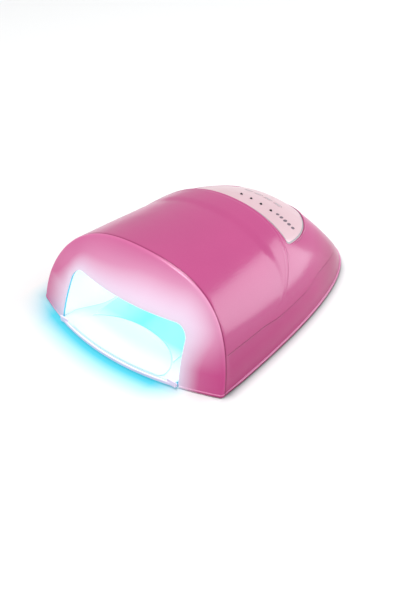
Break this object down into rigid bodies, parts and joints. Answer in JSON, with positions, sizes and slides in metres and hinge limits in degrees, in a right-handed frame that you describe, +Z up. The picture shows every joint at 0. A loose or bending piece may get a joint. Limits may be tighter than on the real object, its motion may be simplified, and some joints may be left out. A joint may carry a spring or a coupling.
{
  "type": "nail lamp",
  "caption": "Table-top UV LED nail lamp: a domed shell with a hand opening in front, a pull-out tray, a keypad behind the hood and a mains inlet at the rear.",
  "frame": {"origin": "on the table, under the middle of the base", "axes": "+Z up, -Y out of the hand opening, +X to the right of a person who looks into the opening"},
  "size_m": [0.2134, 0.267, 0.09],
  "materials": {
    "pearl_pink": "glossy pearl",
    "overlay_film": "satin film",
    "smoked_lens": "glossy",
    "tray_white": "glossy",
    "white_plastic": "satin",
    "mirror_film": "mirror",
    "clear_plastic": "clear",
    "reflector_white": "glossy",
    "led_lens": "clear dome",
    "circuit_board": "solder mask",
    "white_board": "white solder mask",
    "aluminium": "extruded",
    "black_plastic": "matte",
    "winding_tape": "tape",
    "rubber": "matte",
    "steel": "zinc plated"
  },
  "bodies": {
    "housing": {"top_shell": "pearl_pink", "base_plate": "pearl_pink", "inlet_housing": "pearl_pink", "control_overlay": "overlay_film", "light_pipe_1": "smoked_lens", "light_pipe_2": "smoked_lens", "light_pipe_3": "smoked_lens", "light_pipe_4": "smoked_lens", "control_board": "circuit_board", "driver_board": "circuit_board", "tact_switch_1": "black_plastic", "tact_switch_2": "black_plastic", "tact_switch_3": "black_plastic", "tact_switch_4": "black_plastic", "driver_capacitor": "black_plastic", "mains_inlet": "black_plastic", "mains_wire": "black_plastic", "led_wire": "black_plastic", "tray_rail_left": "white_plastic", "tray_rail_right": "white_plastic", "driver_connector": "white_plastic", "reflector_liner": "reflector_white", "uv_led_ceiling_1": "led_lens", "uv_led_ceiling_2": "led_lens", "uv_led_ceiling_3": "led_lens", "uv_led_ceiling_4": "led_lens", "uv_led_ceiling_5": "led_lens", "uv_led_ceiling_6": "led_lens", "uv_led_left_1": "led_lens", "uv_led_left_2": "led_lens", "uv_led_left_3": "led_lens", "uv_led_right_1": "led_lens", "uv_led_right_2": "led_lens", "uv_led_right_3": "led_lens", "ceiling_led_board": "white_board", "side_led_board_left": "white_board", "side_led_board_right": "white_board", "led_heat_sink": "aluminium", "driver_heat_sink": "aluminium", "driver_transformer": "winding_tape", "rubber_foot_1": "rubber", "rubber_foot_2": "rubber", "rubber_foot_3": "rubber", "rubber_foot_4": "rubber", "base_screw_1": "steel", "base_screw_2": "steel", "base_screw_3": "steel", "base_screw_4": "steel", "base_screw_5": "steel", "base_screw_6": "steel"},
    "tray": {"tray_plate": "tray_white", "tray_pad": "tray_white", "tray_mirror": "mirror_film", "tray_lip": "clear_plastic"},
    "key_1": {"key_1": "overlay_film"},
    "key_2": {"key_2": "overlay_film"},
    "key_3": {"key_3": "overlay_film"},
    "key_4": {"key_4": "overlay_film"}
  },
  "joints": [
    {"name": "tray_slide", "type": "slide", "parent": "housing", "child": "tray", "axis": [0, -1, 0], "range_m": [0, 0.175]},
    {"name": "key_1_press", "type": "slide", "parent": "housing", "child": "key_1", "axis": [0, -0.3765, -0.9264], "range_m": [0, 0.0004], "stiffness_N_per_m": 4000},
    {"name": "key_2_press", "type": "slide", "parent": "housing", "child": "key_2", "axis": [0, -0.3765, -0.9264], "range_m": [0, 0.0004], "stiffness_N_per_m": 4000},
    {"name": "key_3_press", "type": "slide", "parent": "housing", "child": "key_3", "axis": [0, -0.3765, -0.9264], "range_m": [0, 0.0004], "stiffness_N_per_m": 4000},
    {"name": "key_4_press", "type": "slide", "parent": "housing", "child": "key_4", "axis": [0, -0.3765, -0.9264], "range_m": [0, 0.0004], "stiffness_N_per_m": 4000}
  ]
}
